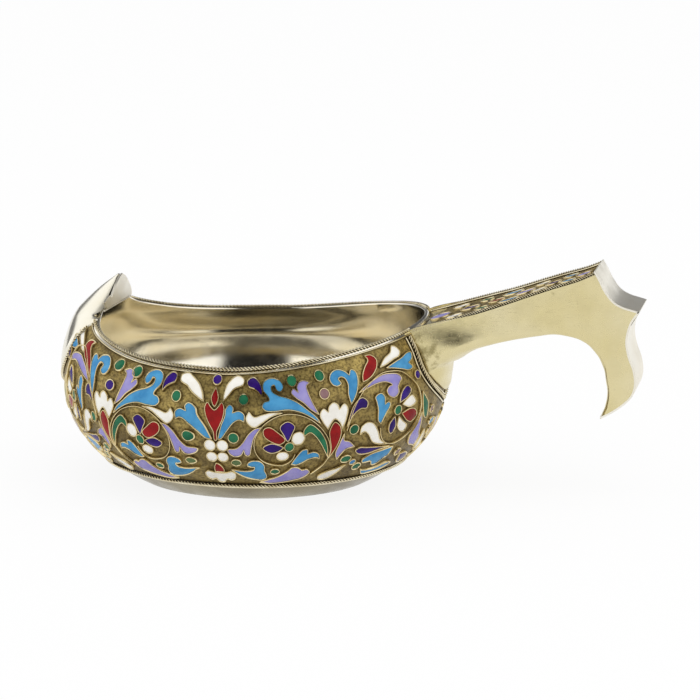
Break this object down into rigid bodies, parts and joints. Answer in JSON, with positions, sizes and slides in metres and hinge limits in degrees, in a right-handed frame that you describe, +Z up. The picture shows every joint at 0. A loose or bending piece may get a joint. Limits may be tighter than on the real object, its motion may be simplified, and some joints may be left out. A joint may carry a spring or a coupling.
{
  "type": "kovsh",
  "caption": "Small gilt drinking scoop with a deep oval bowl, a pointed prow, a flat hooked handle and a floral cloisonne band.",
  "frame": {"origin": "centre of the base's flat underside", "axes": "+Z up out of the bowl, +X along the bowl's long axis towards the handle, -X towards the prow"},
  "size_m": [0.1253, 0.0784, 0.0481],
  "materials": {
    "bowl_metal": "polished silver-gilt, matted outside between the cells",
    "prow_metal": "polished pale silver-gilt",
    "handle_metal": "polished yellow gilt with fine scratches",
    "plate_metal": "matted gilt ground",
    "wire_metal": "twisted and drawn gilt wire",
    "turquoise_enamel": "glossy opaque turquoise enamel",
    "cobalt_enamel": "glossy cobalt and violet enamel",
    "lilac_enamel": "glossy opaque lilac enamel",
    "red_enamel": "glossy opaque red enamel",
    "white_enamel": "glossy opaque white enamel"
  },
  "bodies": {
    "root": {"bowl": "bowl_metal", "far_fan": "white_enamel", "far_four_dots": "white_enamel", "far_handle_curled_leaf": "turquoise_enamel", "far_handle_hook_leaf": "turquoise_enamel", "far_handle_inner_rosette": "cobalt_enamel", "far_handle_inner_scroll": "wire_metal", "far_handle_long_leaf": "lilac_enamel", "far_handle_outer_rosette": "cobalt_enamel", "far_handle_outer_scroll": "wire_metal", "far_handle_palmette": "white_enamel", "far_prow_curled_leaf": "turquoise_enamel", "far_prow_hook_leaf": "turquoise_enamel", "far_prow_inner_rosette": "cobalt_enamel", "far_prow_inner_scroll": "wire_metal", "far_prow_long_leaf": "lilac_enamel", "far_prow_outer_rosette": "cobalt_enamel", "far_prow_outer_scroll": "wire_metal", "far_prow_palmette": "white_enamel", "far_tulip": "red_enamel", "foot_rope": "wire_metal", "foot_wire": "wire_metal", "handle_body": "handle_metal", "handle_end_strip": "prow_metal", "handle_inlay": "lilac_enamel", "handle_rope_far": "wire_metal", "handle_rope_near": "wire_metal", "handle_top_plate": "plate_metal", "handle_wire_far": "wire_metal", "handle_wire_near": "wire_metal", "near_fan": "white_enamel", "near_four_dots": "white_enamel", "near_handle_curled_leaf": "turquoise_enamel", "near_handle_hook_leaf": "turquoise_enamel", "near_handle_inner_rosette": "cobalt_enamel", "near_handle_inner_scroll": "wire_metal", "near_handle_long_leaf": "lilac_enamel", "near_handle_outer_rosette": "cobalt_enamel", "near_handle_outer_scroll": "wire_metal", "near_handle_palmette": "white_enamel", "near_prow_curled_leaf": "turquoise_enamel", "near_prow_hook_leaf": "turquoise_enamel", "near_prow_inner_rosette": "cobalt_enamel", "near_prow_inner_scroll": "wire_metal", "near_prow_long_leaf": "lilac_enamel", "near_prow_outer_rosette": "cobalt_enamel", "near_prow_outer_scroll": "wire_metal", "near_prow_palmette": "white_enamel", "near_tulip": "red_enamel", "prow_back_plate": "prow_metal", "prow_rope": "wire_metal", "prow_shell": "prow_metal", "prow_wire": "wire_metal", "rim_rope_far": "wire_metal", "rim_rope_near": "wire_metal", "rim_wire_far": "wire_metal", "rim_wire_near": "wire_metal", "root_rope": "wire_metal", "root_wire_inner": "wire_metal", "root_wire_outer": "wire_metal"}
  },
  "joints": []
}
